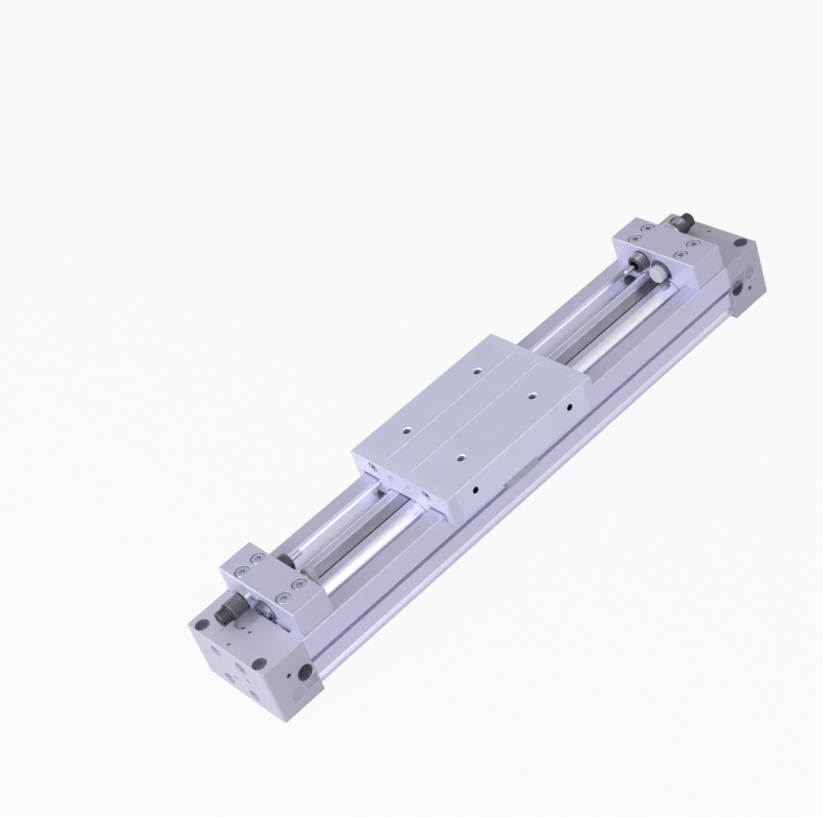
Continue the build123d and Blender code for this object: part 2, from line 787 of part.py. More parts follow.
def stop_bumper():
    """The soft cap on the head of the right stop bolt."""
    cap = rod_x(bumper_radius, stop_tip, stop_tip + bumper_length, stop_y, stop_z)
    cap = fillet(cap.edges().filter_by(GeomType.CIRCLE).sort_by(Axis.X)[0], bumper_edge)
    neck = stop_tip + bumper_wall + stop_head_length
    cap -= rod_x(stop_head_radius + thread_gap, stop_tip + bumper_wall, neck, stop_y, stop_z)
    return cap - rod_x(stop_radius + thread_gap, neck, stop_tip + bumper_length, stop_y, stop_z)


def stop_lock_nuts():
    """The two nuts with washers that lock the right stop bolt, flush in the holder's pockets."""
    nuts = []
    for face_x, inward in ((holder_inner, 1), (holder_outer, -1)):
        meet = face_x + inward * stop_nut_thickness
        floor = face_x + inward * stop_pocket_depth
        nut = hexagon_x(stop_nut_flats, *sorted((face_x, meet)), stop_y, stop_z)
        nut += rod_x(washer_radius, *sorted((meet, floor)), stop_y, stop_z)
        hole = rod_x(stop_radius + thread_gap, *sorted((face_x, floor)), stop_y, stop_z)
        nuts.append(nut - hole)
    return nuts


def carriage_section(gap, floor):
    """The section of the moving table: top, skirts and the legs that reach into the guide grooves."""
    half = table_width / 2
    skirt_inner = half_width + skirt_gap
    over_rail = rail_top + rail_gap
    block_outline = [
        (half, table_top - table_edge),
        (half, skirt_bottom),
        (skirt_inner, skirt_bottom),
        (skirt_inner, over_rail),
        (lip_y - gap, over_rail),
        (lip_y - gap, rail_top),
        (past_vee, rail_top - rail_chamfer),
        (past_vee, floor),
    ]
    far_side = [(-y, z) for y, z in reversed(block_outline)]
    top = [(-half + table_edge, table_top), (half - table_edge, table_top)]
    whole = section([*top, *block_outline, *far_side])
    return whole - clear_of_guide(gap)


def main_face(shape):
    """The largest face of a cut section."""
    return shape.faces().sort_by(SortBy.AREA)[-1]


def slide_table():
    """The table between its two end plates."""
    face = main_face(carriage_section(bearing_gap + bearing_wall, table_leg_floor))
    table = bar(face, body_low_x, body_high_x)
    table -= block(body_low_x, body_high_x, -tunnel_half, tunnel_half, ridge_top, tunnel_top)
    pocket = yoke_neck_length / 2
    low, high = table_rest_x - pocket, table_rest_x + pocket
    table -= block(low, high, -yoke_head_half, yoke_head_half, ridge_top, yoke_wing_top)
    for dx in (1, -1):
        for side in (1, -1):
            x = table_rest_x + dx * mount_pitch_x / 2
            y = side * mount_pitch_y / 2
            table -= rod_z(mount_thread_radius, table_top - mount_thread_depth, table_top, x, y)
            lead = Cone(mount_thread_radius, mount_thread_radius + mount_chamfer, mount_chamfer)
            table -= Pos(x, y, table_top - mount_chamfer / 2) * lead
            side_x = table_rest_x + dx * side_screw_dx
            outer = side * table_width / 2
            inner = side * (table_width / 2 - side_screw_length - side_screw_recess)
            table -= rod_y(side_screw_radius, *sorted((outer, inner)), side_x, side_screw_z)
    for y in line_groove_places:
        low_z = table_top - line_groove_depth
        half = line_groove_width / 2
        table -= block(body_low_x, body_high_x, y - half, y + half, low_z, table_top)
    for end_face, inward in ((body_low_x, 1), (body_high_x, -1)):
        for y, z, radius in plate_hole_places():
            inner = end_face + inward * plate_screw_length
            table -= rod_x(radius + thread_gap, *sorted((end_face, inner)), y, z)
    return table


def plate_hole_places():
    """Screws of an end plate: place (y, z) and shank radius."""
    places = [(side * plate_screw_y, plate_screw_z, m3_shank) for side in (1, -1)]
    return places + [(side * plate_small_y, plate_small_z, plate_small_radius) for side in (1, -1)]


def end_plate():
    """The end plate at the high end of the table, with the seat of its scraper."""
    face = main_face(carriage_section(plate_gap, plate_floor))
    plate = bar(face, body_high_x, table_high_x)
    seat_to = body_high_x + scraper_thickness
    plate -= block(body_high_x, seat_to, -scraper_half, scraper_half, plate_floor, scraper_top)
    for y, z, radius in plate_hole_places():
        plate -= rod_x(radius + thread_gap, body_high_x, table_high_x, y, z)
    head_seat = table_high_x - m3_head_height - plate_screw_recess
    for side in (1, -1):
        y, z = side * plate_screw_y, plate_screw_z
        plate -= rod_x(m3_head + sink_gap, head_seat, table_high_x, y, z)
        y, z = side * plate_small_y, plate_small_z
        plate -= rod_x(plate_small_sink_radius, table_high_x - plate_small_recess, table_high_x, y, z)
    return plate


def scraper():
    """The wiper behind the end plate, which hugs the rails and the ridge."""
    outline = [
        (scraper_half, scraper_top),
        (scraper_half, rail_top),
        (lip_y, rail_top - rail_chamfer),
        (past_vee, rail_top - rail_chamfer),
        (past_vee, plate_floor),
    ]
    far_side = [(-y, z) for y, z in reversed(outline)]
    face = main_face(section([*outline, *far_side]) - clear_of_guide(scraper_gap))
    return bar(face, body_high_x, body_high_x + scraper_thickness)


def end_plate_screws():
    """The screws of the end plate at the table's high end."""
    big = socket_screw(m3_shank, m3_head, m3_head_height, m3_key, plate_screw_length)
    seat = table_high_x - m3_head_height - plate_screw_recess
    small_face = table_high_x - plate_small_recess
    screws = []
    for side in (1, -1):
        screws.append(Pos(seat, side * plate_screw_y, plate_screw_z) * Rot(0, 90, 0) * big)
        y, z = side * plate_small_y, plate_small_z
        small = rod_x(plate_small_radius, body_high_x - plate_small_reach, small_face, y, z)
        key = hexagon_x(plate_small_key, small_face - plate_small_key_depth, small_face, y, z)
        screws.append(small - key)
    return screws


def slide_bearing():
    """The resin guide shoe in the back groove, along the whole table."""
    outline = [
        (bearing_inner, rail_top),
        (lip_y, rail_top),
        (past_vee, rail_top - rail_chamfer),
        (past_vee, bearing_floor),
        (bearing_inner + bearing_step, bearing_floor),
        (bearing_inner + bearing_step, vee_z),
        (bearing_inner, vee_z + bearing_rise),
    ]
    shoe = section(outline) - clear_of_guide(bearing_gap)
    shoe &= clear_of_guide(bearing_gap + bearing_wall)
    return bar(main_face(shoe), body_low_x, body_high_x)


def bearing_screws():
    """The set screws in the table's sides that push the guide shoes on to the rails."""
    screws = []
    for dx in (1, -1):
        for side in (1, -1):
            x = table_rest_x + dx * side_screw_dx
            outer = side * (table_width / 2 - side_screw_recess)
            inner = side * (table_width / 2 - side_screw_recess - side_screw_length)
            screw = rod_y(side_screw_radius - thread_gap, *sorted((outer, inner)), x, side_screw_z)
            key_floor = outer - side * side_key_depth
            key = rod_y(side_key_radius, *sorted((outer, key_floor)), x, side_screw_z)
            screws.append(screw - key)
    return screws


def piston_yoke():
    """The bar between the two pistons, with the neck through the slit that carries the table."""
    radius = bore_radius - piston_gap
    low, high = table_rest_x - yoke_half, table_rest_x + yoke_half
    yoke = rod_x(radius, low, high, z=bore_height)
    room = belt_tunnel_half
    yoke -= block(low, high, -room, room, belt_tunnel_floor, bore_top)
    neck_low = table_rest_x - yoke_neck_length / 2
    neck_high = table_rest_x + yoke_neck_length / 2
    bridge = rod_x(radius, neck_low, neck_high, z=bore_height)
    bridge &= block(neck_low, neck_high, -bore_radius, bore_radius, yoke_bridge_low, ridge_top)
    yoke += bridge
    neck_from = yoke_bridge_low + yoke_neck_root
    yoke += block(neck_low, neck_high, -yoke_neck_half, yoke_neck_half, neck_from, yoke_head_top)
    head_from = ridge_top + plate_gap
    yoke += block(neck_low, neck_high, -yoke_head_half, yoke_head_half, head_from, yoke_head_top)
    for side in (1, -1):
        near, far = sorted((side * yoke_wing_inner, side * yoke_head_half))
        yoke += block(neck_low, neck_high, near, far, yoke_head_top, yoke_wing_top)
    return yoke


def piston():
    """The piston at the high end, with the grooves of its packing and wear ring."""
    radius = bore_radius - piston_gap
    low, high = table_rest_x + yoke_half, table_rest_x + piston_half
    head = rod_x(radius, low, high, z=bore_height)
    head = chamfer(head.edges().filter_by(GeomType.CIRCLE).sort_by(Axis.X)[-1], piston_edge)
    grooves = (
        (packing_from_end, packing_width, packing_depth),
        (wear_ring_from_end, wear_ring_width, wear_ring_depth),
    )
    for from_end, width, depth in grooves:
        near, far = high - from_end - width / 2, high - from_end + width / 2
        ring = rod_x(bore_radius, near, far, z=bore_height)
        head -= ring - rod_x(bore_radius - ring_gap - depth, near, far, z=bore_height)
    return head - rod_x(cushion_bore_radius, high - cushion_bore_depth, high, z=bore_height)


def bore_ring(from_end, width, depth):
    """A ring around the piston at the high end."""
    middle = table_rest_x + piston_half - from_end
    near, far = middle - width / 2, middle + width / 2
    outer = rod_x(bore_radius - ring_gap, near, far, z=bore_height)
    return outer - rod_x(bore_radius - ring_gap - depth, near, far, z=bore_height)


def magnet_carrier():
    """The lug under the front skirt that holds the magnet beside the sensor slot."""
    front, back = -table_width / 2, -half_width - carrier_side_gap
    lug = block(carrier_low_x, carrier_high_x, front, back, carrier_low_z, skirt_bottom)
    lug = fillet(lug.edges().filter_by(Axis.Z), carrier_edge)
    return lug - magnet_room()


def magnet_room():
    """The space of the magnet, open towards the tube."""
    front = -table_width / 2 + magnet_inset
    back = -half_width - carrier_side_gap
    low_z, high_z = carrier_low_z + magnet_inset, skirt_bottom - magnet_inset
    high_x = carrier_high_x - magnet_inset
    return block(high_x - magnet_length, high_x, front, back, low_z, high_z)


def other_end(piece):
    """The same piece at the table's low end, mirrored in the middle of the table."""
    return mirror(piece, about=Plane.YZ.offset(table_rest_x))


def gather(pieces):
    """Separate solids of one node."""
    solids = []
    for piece in pieces:
        solids.extend(piece.solids())
    return Compound(children=solids)


nodes = {"cylinder_tube": cylinder_tube()}
nodes["seal_belt"] = seal_belt()
nodes["dust_seal_band"] = dust_seal_band()

end_pieces = {
    "head_cover": (head_cover(), turned),
    "belt_clamp": (belt_clamp(), turned),
    "belt_clamp_screws": (gather(belt_clamp_screws()), turned),
    "head_cover_screws": (gather(cover_screws()), turned),
    "head_cover_seal": (cover_seal(), turned),
    "cushion_boss": (cushion_boss(), turned),
    "cushion_needles": (gather(cushion_needles()), turned),
    "end_plugs": (gather(end_plugs()), turned),
    "port_plug": (port_plug(), mirrored),
    "adjuster_holder": (adjuster_holder(), left_unit),
    "holder_screws": (gather(holder_screws()), left_unit),
    "fixing_blocks": (fixing_blocks(), left_unit),
    "shock_absorber_body": (shock_absorber_body(), left_unit),
    "shock_rod": (shock_rod(), left_unit),
    "shock_lock_nut": (shock_lock_nut(), left_unit),
    "adjusting_bolt": (adjusting_bolt(), left_stop),
    "stop_bumper": (stop_bumper(), left_stop),
    "stop_lock_nut": (gather(stop_lock_nuts()), left_unit),
    "end_plate": (end_plate(), other_end),
    "end_plate_screws": (gather(end_plate_screws()), other_end),
    "scraper": (scraper(), other_end),
    "piston": (piston(), other_end),
    "piston_packing": (bore_ring(packing_from_end, packing_width, packing_depth), other_end),
    "wear_ring": (bore_ring(wear_ring_from_end, wear_ring_width, wear_ring_depth), other_end),
}
for name, (piece, to_left) in end_pieces.items():
    nodes[name + "_right"] = piece
    nodes[name + "_left"] = to_left(piece)

nodes["slide_table"] = slide_table()
nodes["slide_bearing_back"] = slide_bearing()
nodes["slide_bearing_front"] = mirror(slide_bearing(), about=Plane.XZ)
nodes["bearing_screws"] = gather(bearing_screws())
nodes["piston_yoke"] = piston_yoke()
nodes["magnet_carrier"] = magnet_carrier()
nodes["magnet"] = magnet_room()

for name, piece in nodes.items():
    export_step(piece, f"parts/{name}.step")
    print(name, len(piece.solids()))
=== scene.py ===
"""Looks of a guided rodless air cylinder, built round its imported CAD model.

The barrel lies along X with its feet on the floor, and the table rides on top of it.
Lengths are metres in the same frame as the CAD model, and mm turns millimetres into them.
"""

import json
import math

import bmesh
import bpy
from mathutils import Matrix, Vector


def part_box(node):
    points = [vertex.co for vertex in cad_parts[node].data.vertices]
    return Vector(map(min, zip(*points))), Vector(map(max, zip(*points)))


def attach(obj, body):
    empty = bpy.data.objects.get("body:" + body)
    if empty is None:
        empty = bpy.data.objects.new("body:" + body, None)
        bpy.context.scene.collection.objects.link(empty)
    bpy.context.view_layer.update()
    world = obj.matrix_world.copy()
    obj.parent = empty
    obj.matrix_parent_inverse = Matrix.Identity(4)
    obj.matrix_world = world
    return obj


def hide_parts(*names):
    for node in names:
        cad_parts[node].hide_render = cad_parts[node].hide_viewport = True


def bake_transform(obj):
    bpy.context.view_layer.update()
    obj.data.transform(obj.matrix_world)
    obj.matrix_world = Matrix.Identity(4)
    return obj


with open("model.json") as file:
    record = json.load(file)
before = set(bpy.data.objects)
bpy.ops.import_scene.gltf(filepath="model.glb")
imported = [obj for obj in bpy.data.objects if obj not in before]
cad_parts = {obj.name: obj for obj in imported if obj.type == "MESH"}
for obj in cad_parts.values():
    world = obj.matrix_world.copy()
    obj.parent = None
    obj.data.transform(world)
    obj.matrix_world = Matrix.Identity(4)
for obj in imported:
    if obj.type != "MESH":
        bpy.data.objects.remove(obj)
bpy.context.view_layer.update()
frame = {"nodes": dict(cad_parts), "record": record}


# Barrel: a 300 mm long extrusion of aluminium 6063, clear anodised to a satin silver with a lilac cast.
# The die leaves fine lines along its whole length, which smear every reflection across them,
# and its sharp corners are lightened with a painted highlight, so that they show as thin bright lines.
mm = 0.001


def linear(hex_colour):
    """Turns an sRGB hex colour into linear light with full opacity."""
    channels = [int(hex_colour[place:place + 2], 16) / 255 for place in (1, 3, 5)]
    return [c / 12.92 if c <= 0.04045 else ((c + 0.055) / 1.055) ** 2.4 for c in channels] + [1.0]


def add(material, kind, settings=(), links=()):
    """Adds a node to a material, sets its values and links its inputs, each by name or by number."""
    tree = material.node_tree
    node = tree.nodes.new(kind)
    for name, value in dict(settings).items():
        if isinstance(name, str) and hasattr(node, name):
            setattr(node, name, value)
        else:
            node.inputs[name].default_value = value
    for name, source in dict(links).items():
        tree.links.new(source, node.inputs[name])
    return node


def new_material(name):
    """An empty material, for a finish that is built from its nodes."""
    material = bpy.data.materials.new(name)
    material.use_nodes = True
    material.node_tree.nodes.clear()
    return material


def finish(name, colour, edge_highlight, metallic, roughness, grain, contrast, relief, edge, bright_mask=None):
    """A surface whose grain has a given size along each axis, with a painted highlight of a second colour on
    its edges.

    Grain, relief and edge are sizes in mm, and contrast is how far the grain shades the colour.
    """
    material = new_material(name)
    place = add(material, "ShaderNodeTexCoord").outputs["Object"]
    density = [1 / (size * mm) for size in grain]
    stretched = add(material, "ShaderNodeMapping", {"Scale": density}, {"Vector": place}).outputs[0]
    settings = {"Scale": 1.0, "Detail": 3.0, "Roughness": 0.6}
    grains = add(material, "ShaderNodeTexNoise", settings, {"Vector": stretched}).outputs["Fac"]
    # Handling leaves soft clouds 20 mm wide over the grain.
    settings = {"Scale": 1 / (20 * mm), "Detail": 2.0}
    cloud = add(material, "ShaderNodeTexNoise", settings, {"Vector": place}).outputs["Fac"]
    settings = {"operation": "MULTIPLY_ADD", 1: 0.6}
    mottle = add(material, "ShaderNodeMath", settings, {0: grains, 2: cloud}).outputs[0]
    settings = {"From Min": 0.45, "From Max": 1.15, "To Min": 1 - contrast, "To Max": 1 + contrast}
    shade = add(material, "ShaderNodeMapRange", settings, {"Value": mottle}).outputs[0]
    settings = {"operation": "SCALE", 0: linear(colour)[:3]}
    tint = add(material, "ShaderNodeVectorMath", settings, {"Scale": shade}).outputs[0]
    # An edge is where the rounded normal leaves the flat one, and a painted highlight takes it 85 per cent of
    # the way to the edge colour.
    rounded = add(material, "ShaderNodeBevel", {"samples": 4, "Radius": edge * mm}).outputs[0]
    flat = add(material, "ShaderNodeNewGeometry").outputs["Normal"]
    settings = {"operation": "DOT_PRODUCT"}
    agreement = add(material, "ShaderNodeVectorMath", settings, {0: rounded, 1: flat}).outputs["Value"]
    settings = {"From Min": 0.985, "From Max": 0.88, "To Min": 0.0, "To Max": 0.85}
    bare = add(material, "ShaderNodeMapRange", settings, {"Value": agreement}).outputs[0]
    settings = {"To Min": roughness - 0.06, "To Max": roughness + 0.06}
    gloss = add(material, "ShaderNodeMapRange", settings, {"Value": grains}).outputs[0]
    settings = {"Strength": 0.3, "Distance": relief * mm}
    bump = add(material, "ShaderNodeBump", settings, {"Height": grains, "Normal": rounded}).outputs[0]
    links = {"Normal": bump}
    if bright_mask:
        # Masked faces take the edge colour as a painted highlight, and are more metallic and smoother than
        # the rest.
        bright = bright_mask(material, place)
        bare = add(material, "ShaderNodeMath", {"operation": "MAXIMUM"}, {0: bare, 1: bright}).outputs[0]
        settings = {"To Min": metallic, "To Max": 0.9}
        links["Metallic"] = add(material, "ShaderNodeMapRange", settings, {"Value": bright}).outputs[0]
        settings = {"operation": "MULTIPLY_ADD", 1: -0.08}
        gloss = add(material, "ShaderNodeMath", settings, {0: bright, 2: gloss}).outputs[0]
    # Painted highlight: the edges, and any masked faces, are mixed towards the edge colour.
    settings = {"data_type": "RGBA", 7: linear(edge_highlight)}
    links["Base Color"] = add(material, "ShaderNodeMix", settings, {"Factor": bare, 6: tint}).outputs[2]
    links["Roughness"] = gloss
    shader = add(material, "ShaderNodeBsdfPrincipled", {"Metallic": metallic}, links).outputs[0]
    add(material, "ShaderNodeOutputMaterial", links={"Surface": shader})
    return material


def finish_nodes(material, *names):
    """Gives CAD nodes a material in place of their plain one."""
    for name in names:
        for place in frame["nodes"][name].material_slots:
            place.material = material


def both_ends(*names):
    """The names of a piece at the left and at the right end."""
    return [f"{name}_{end}" for name in names for end in ("left", "right")]


# Faces lightened with a painted highlight are the two guide grooves, the seat's wall behind the dust band,
# and the foot grooves. Each has its middle and reach across, then its middle and reach in height, in mm,
# and says whether it is on both sides.
highlighted_faces = (
    (17.0, 8.5, 26.0, 6.9, True),
    (4.5, 0.4, 31.8, 0.4, False),
    (27.4, 1.0, 7.45, 1.8, True),
)


def painted_highlight_faces(material, place):
    """One on the faces with the painted highlight, and nought elsewhere."""
    across, height = add(material, "ShaderNodeSeparateXYZ", links={0: place}).outputs[1:3]
    from_middle = add(material, "ShaderNodeMath", {"operation": "ABSOLUTE"}, {0: across}).outputs[0]
    found = None
    for middle_y, reach_y, middle_z, reach_z, both_sides in highlighted_faces:
        measured = from_middle if both_sides else across
        settings = {"operation": "COMPARE", 1: middle_y * mm, 2: reach_y * mm}
        inside_y = add(material, "ShaderNodeMath", settings, {0: measured}).outputs[0]
        settings = {"operation": "COMPARE", 1: middle_z * mm, 2: reach_z * mm}
        inside_z = add(material, "ShaderNodeMath", settings, {0: height}).outputs[0]
        settings = {"operation": "MULTIPLY"}
        inside = add(material, "ShaderNodeMath", settings, {0: inside_y, 1: inside_z}).outputs[0]
        links = {0: inside, 1: found or inside}
        found = add(material, "ShaderNodeMath", {"operation": "MAXIMUM"}, links).outputs[0]
    return found


# Die lines are 0.05 mm wide, and are drawn 0.6 mm wide, the finest that shows.
extrusion = finish(
    "satin anodised extrusion", "#D2D1EA", edge_highlight="#F2F2FC", metallic=0.62, roughness=0.30,
    grain=(90, 0.6, 0.6), contrast=0.05, relief=0.02, edge=0.25, bright_mask=painted_highlight_faces,
)
finish_nodes(extrusion, "cylinder_tube")


# Pistons and yoke: turned and milled aluminium, left bare, whose tool marks scatter the light in the bore.
# Packings, scrapers, cover seals and the magnet's coat are moulded nitrile, black and almost without gloss.
# Wear rings and guide shoes are grey filled resin, and rods and cushion bosses are chromed to a mirror.
bare_aluminium = finish(
    "turned bare aluminium", "#CDCDD2", edge_highlight="#F0F0F4", metallic=0.85, roughness=0.32,
    grain=(0.6, 0.6, 0.6), contrast=0.05, relief=0.02, edge=0.2,
)
finish_nodes(bare_aluminium, "piston_yoke", *both_ends("piston"))
nitrile = finish(
    "moulded nitrile rubber", "#1D1D21", edge_highlight="#2C2C31", metallic=0.0, roughness=0.62,
    grain=(0.5, 0.5, 0.5), contrast=0.12, relief=0.05, edge=0.2,
)
finish_nodes(nitrile, "magnet", *both_ends("scraper", "head_cover_seal", "piston_packing"))
resin = finish(
    "filled guide resin", "#4A4B55", edge_highlight="#666773", metallic=0.0, roughness=0.45,
    grain=(0.8, 0.8, 0.8), contrast=0.10, relief=0.03, edge=0.2,
)
finish_nodes(resin, "slide_bearing_back", "slide_bearing_front", *both_ends("wear_ring"))
chrome = finish(
    "hard chromed steel", "#C2C2CC", edge_highlight="#F0F0F4", metallic=1.0, roughness=0.14,
    grain=(0.4, 0.4, 0.4), contrast=0.04, relief=0.005, edge=0.15,
)
finish_nodes(chrome, *both_ends("shock_rod", "cushion_boss"))


# Seal belt and dust band: a urethane belt closes the slit from inside, and a strip of cold rolled
# stainless steel 0.3 mm thick covers it outside, with rolling streaks along it. Both are clamped at their
# ends and pass over the yoke, so each is made as two halves that stretch from the clamp to the table.
mounts = {mount["name"]: mount for mount in frame["record"]["mounts"]}
table_x = mounts["table_bolts"]["pos_m"][0] / mm
level_reach = 14.0
ramp_reach = 43.0


def make_piece(name, shape, material, body=None):
    """Makes a finished bmesh an object with its faces pointing outwards, which rides on a body."""
    bmesh.ops.remove_doubles(shape, verts=shape.verts, dist=0.002 * mm)
    bmesh.ops.dissolve_degenerate(shape, edges=shape.edges, dist=0.001 * mm)
    bmesh.ops.recalc_face_normals(shape, faces=shape.faces)
    mesh = bpy.data.meshes.new(name)
    shape.to_mesh(mesh)
    shape.free()
    mesh.materials.append(material)
    made = bpy.data.objects.new(name, mesh)
    bpy.context.collection.objects.link(made)
    if body:
        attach(made, body)
    return made


def new_corners(made):
    """The vertices among what an extrusion made."""
    return [item for item in made["geom"] if isinstance(item, bmesh.types.BMVert)]


def strip_height(x, seat, level):
    """The height of a strip's underside at x: in its seat, on the ramp, or level at the yoke."""
    past = abs(x - table_x)
    share = min(max((ramp_reach - past) / (ramp_reach - level_reach), 0.0), 1.0)
    return seat + share * (level - seat)


def strip(name, far_x, front, back, seat, level, thickness, material, replaced):
    """Half of a band, from its clamped end to the middle of the table."""
    shape = bmesh.new()
    stations = 120
    bmesh.ops.create_grid(shape, x_segments=stations, y_segments=2, size=0.5)
    for corner in shape.verts:
        x = far_x + (corner.co.x + 0.5) * (table_x - far_x)
        y = front + (corner.co.y + 0.5) * (back - front)
        corner.co = Vector((x, y, strip_height(x, seat, level))) * mm
    upper = new_corners(bmesh.ops.extrude_face_region(shape, geom=shape.faces[:]))
    bmesh.ops.translate(shape, verts=upper, vec=(0, 0, thickness * mm))
    made = make_piece(name, shape, material)
    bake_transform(made)
    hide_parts(replaced)


band_steel = finish(
    "cold rolled stainless", "#AAAABC", edge_highlight="#E4E4F0", metallic=1.0, roughness=0.30,
    grain=(60, 0.4, 0.4), contrast=0.22, relief=0.01, edge=0.12,
)
belt_urethane = finish(
    "cast urethane belt", "#2B2B2E", edge_highlight="#3A3A3E", metallic=0.0, roughness=0.4,
    grain=(0.6, 0.6, 0.6), contrast=0.08, relief=0.02, edge=0.2,
)
for end, side in (("left", -1), ("right", 1)):
    strip(
        f"dust_band_{end}", far_x=side * 158.8, front=-2.95, back=3.8, seat=31.5, level=35.4, thickness=0.3,
        material=band_steel, replaced="dust_seal_band",
    )
    strip(
        f"seal_belt_{end}", far_x=side * 157.8, front=-3.45, back=3.45, seat=27.0, level=20.6, thickness=0.6,
        material=belt_urethane, replaced="seal_belt",
    )


# Seal magnet: a strip of black magnetic rubber glued along the front of the slit, which holds the steel
# band down, laid on the front side only as painted shade for the gap beside the band. The band lies a
# little towards the back, so the strip's matt top shows beside it as a black line.
magnet_rubber_and_gap_shade = finish(
    "black magnetic rubber and gap shade", "#101013", edge_highlight="#1A1A1E", metallic=0.0, roughness=0.75,
    grain=(20, 0.5, 0.5), contrast=0.1, relief=0.03, edge=0.1,
)
magnet_size = Vector((299.6, 1.1, 0.34)) * mm
magnet_middle = Vector((0.0, -3.58, 31.68)) * mm
magnet_rounding = 0.08
magnet_shape = bmesh.new()
bmesh.ops.create_cube(magnet_shape, size=1.0)
sized_and_placed = Matrix.Translation(magnet_middle) @ Matrix.Diagonal((*magnet_size, 1.0))
bmesh.ops.transform(magnet_shape, matrix=sized_and_placed, verts=magnet_shape.verts)
upper_edges = [edge for edge in magnet_shape.edges if all(v.co.z > magnet_middle.z for v in edge.verts)]
rounding = {"affect": "EDGES", "segments": 2, "profile": 0.5, "material": -1}
bmesh.ops.bevel(magnet_shape, geom=upper_edges, offset=magnet_rounding * mm, **rounding)
make_piece("seal_magnet_and_gap_shade", magnet_shape, magnet_rubber_and_gap_shade, "cylinder")


# Head covers: aluminium castings, shot blasted and anodised, so duller and a little warmer than the barrel.
# Blasting leaves a fine even grain of about 0.2 mm, drawn 0.7 mm wide so that it shows.
# The belt clamp let into the top of each is cast and blasted with it.
cast_cover = finish(
    "blasted anodised casting", "#D6D4E2", edge_highlight="#EEEDF6", metallic=0.15, roughness=0.50,
    grain=(0.7, 0.7, 0.7), contrast=0.05, relief=0.05, edge=0.35,
)
finish_nodes(cast_cover, *both_ends("head_cover", "belt_clamp"))


# Ports: Rc 1/8 pipe threads of 28 turns to the inch, tapped in the front of both covers after anodising.
# The thread's lining is dark grey, painted shade for the deep hole.
def turned_ring(profile, steps=40):
    """Corners given as radius and height, spun once round Z, and open ones must end on the axis."""
    shape = bmesh.new()
    corners = [shape.verts.new((radius * mm, 0, height * mm)) for radius, height in profile]
    pairs = list(zip(corners, corners[1:]))
    if profile[0][0] > 0:
        pairs.append((corners[-1], corners[0]))
    sides = [shape.edges.new(pair) for pair in pairs]
    spin = {"cent": (0, 0, 0), "axis": (0, 0, 1), "angle": math.tau, "steps": steps, "use_merge": True}
    bmesh.ops.spin(shape, geom=corners + sides, **spin)
    return shape


def thread_ridge(length, root, crest, pitch):
    """The ridge of a screw thread up Z from the origin: a triangle turned and raised, with closed ends."""
    steps_per_turn = 28
    half_foot = 0.32 * pitch
    profile = ((root, 0.0), (crest, half_foot), (root, 2 * half_foot))
    shape = bmesh.new()
    corners = [shape.verts.new((radius * mm, 0, height * mm)) for radius, height in profile]
    sides = [shape.edges.new((corners[place - 1], corners[place])) for place in range(3)]
    turns = (length - 2 * half_foot) / pitch
    steps = round(turns * steps_per_turn)
    rise = (0, 0, turns * pitch * mm / steps)
    spin = {"cent": (0, 0, 0), "axis": (0, 0, 1), "dvec": rise, "angle": turns * math.tau, "steps": steps}
    bmesh.ops.spin(shape, geom=corners + sides, **spin)
    ends = [edge for edge in shape.edges if edge.is_boundary]
    bmesh.ops.holes_fill(shape, edges=ends, sides=3)
    return shape


def place_shape(shape, place, turn=Matrix.Identity(4)):
    """Turns a shape that was made up Z from the origin, and moves it to its place in mm."""
    bmesh.ops.transform(shape, matrix=Matrix.Translation(Vector(place) * mm) @ turn, verts=shape.verts)
    return shape


def threaded_hole(name, place, turn, radius, depth, pitch, material, body):
    """Lines a blind hole below its mouth with a thin cup, which darkens it as painted shade, and a thread
    ridge that stands in from it.
    """
    clearance = 0.02
    wall = 0.12
    sunk = 0.05
    outer = radius - clearance
    inner = outer - wall
    outside = [(0, -depth), (outer, -depth), (outer, 0)]
    inside = [(inner, 0), (inner, wall - depth), (0, wall - depth)]
    cup = place_shape(turned_ring(outside + inside), place, turn)
    make_piece(name + "_lining", cup, material, body)
    ridge = thread_ridge(depth - 2 * wall, inner + sunk, inner - 0.45 * pitch, pitch)
    bmesh.ops.translate(ridge, verts=ridge.verts, vec=(0, 0, (wall - depth) * mm))
    make_piece(name + "_thread", place_shape(ridge, place, turn), material, body)


# Painted shade: the port linings are dark grey to darken the deep holes.
port_shade = finish(
    "port lining painted shade", "#62626E", edge_highlight="#8E8E9A", metallic=0.5, roughness=0.4,
    grain=(0.5, 0.5, 0.5), contrast=0.15, relief=0.02, edge=0.1,
)
face_front = Matrix.Rotation(math.radians(90), 4, "X")
cover_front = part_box("head_cover_left")[0].y / mm
port_sink = 0.6
port_depth = 8.2
port_pitch = 0.907
for name in both_ends("port"):
    port_x, _, port_z = mounts[name]["pos_m"]
    threaded_hole(
        name, (port_x / mm, cover_front + port_sink, port_z / mm), face_front,
        radius=mounts[name]["dims"]["r_mm"], depth=port_depth, pitch=port_pitch,
        material=port_shade, body="cylinder",
    )


# Foot holes: a sink for a screw's head over a through hole, both drilled after anodising, in the four
# outer corners of the covers. Sleeves darken their walls below the casting as painted shade.
# Painted shade: these sleeves make the foot holes darker than the casting.
drilled = finish(
    "foot hole walls in painted shade", "#B4B4C0", edge_highlight="#D0D0DA", metallic=0.6, roughness=0.4,
    grain=(0.4, 0.4, 0.4), contrast=0.1, relief=0.02, edge=0.1,
)
foot_pitch = mounts["base_bolts"]["dims"]
cover_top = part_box("head_cover_left")[1].z / mm
sink_radius = 3.73
sink_inside = 2.22
sink_floor = -5.0
bore_radius = 2.23
bore_end = -33.4
sleeve_wall = 0.1
foot_sleeves = {
    "sink": [
        (sink_inside, sink_floor), (sink_radius, sink_floor), (sink_radius, -sleeve_wall),
        (sink_radius - sleeve_wall, -sleeve_wall), (sink_radius - sleeve_wall, sink_floor + sleeve_wall),
        (sink_inside, sink_floor + sleeve_wall),
    ],
    "bore": [
        (bore_radius, bore_end), (bore_radius, sink_floor),
        (bore_radius - sleeve_wall, sink_floor), (bore_radius - sleeve_wall, bore_end),
    ],
}
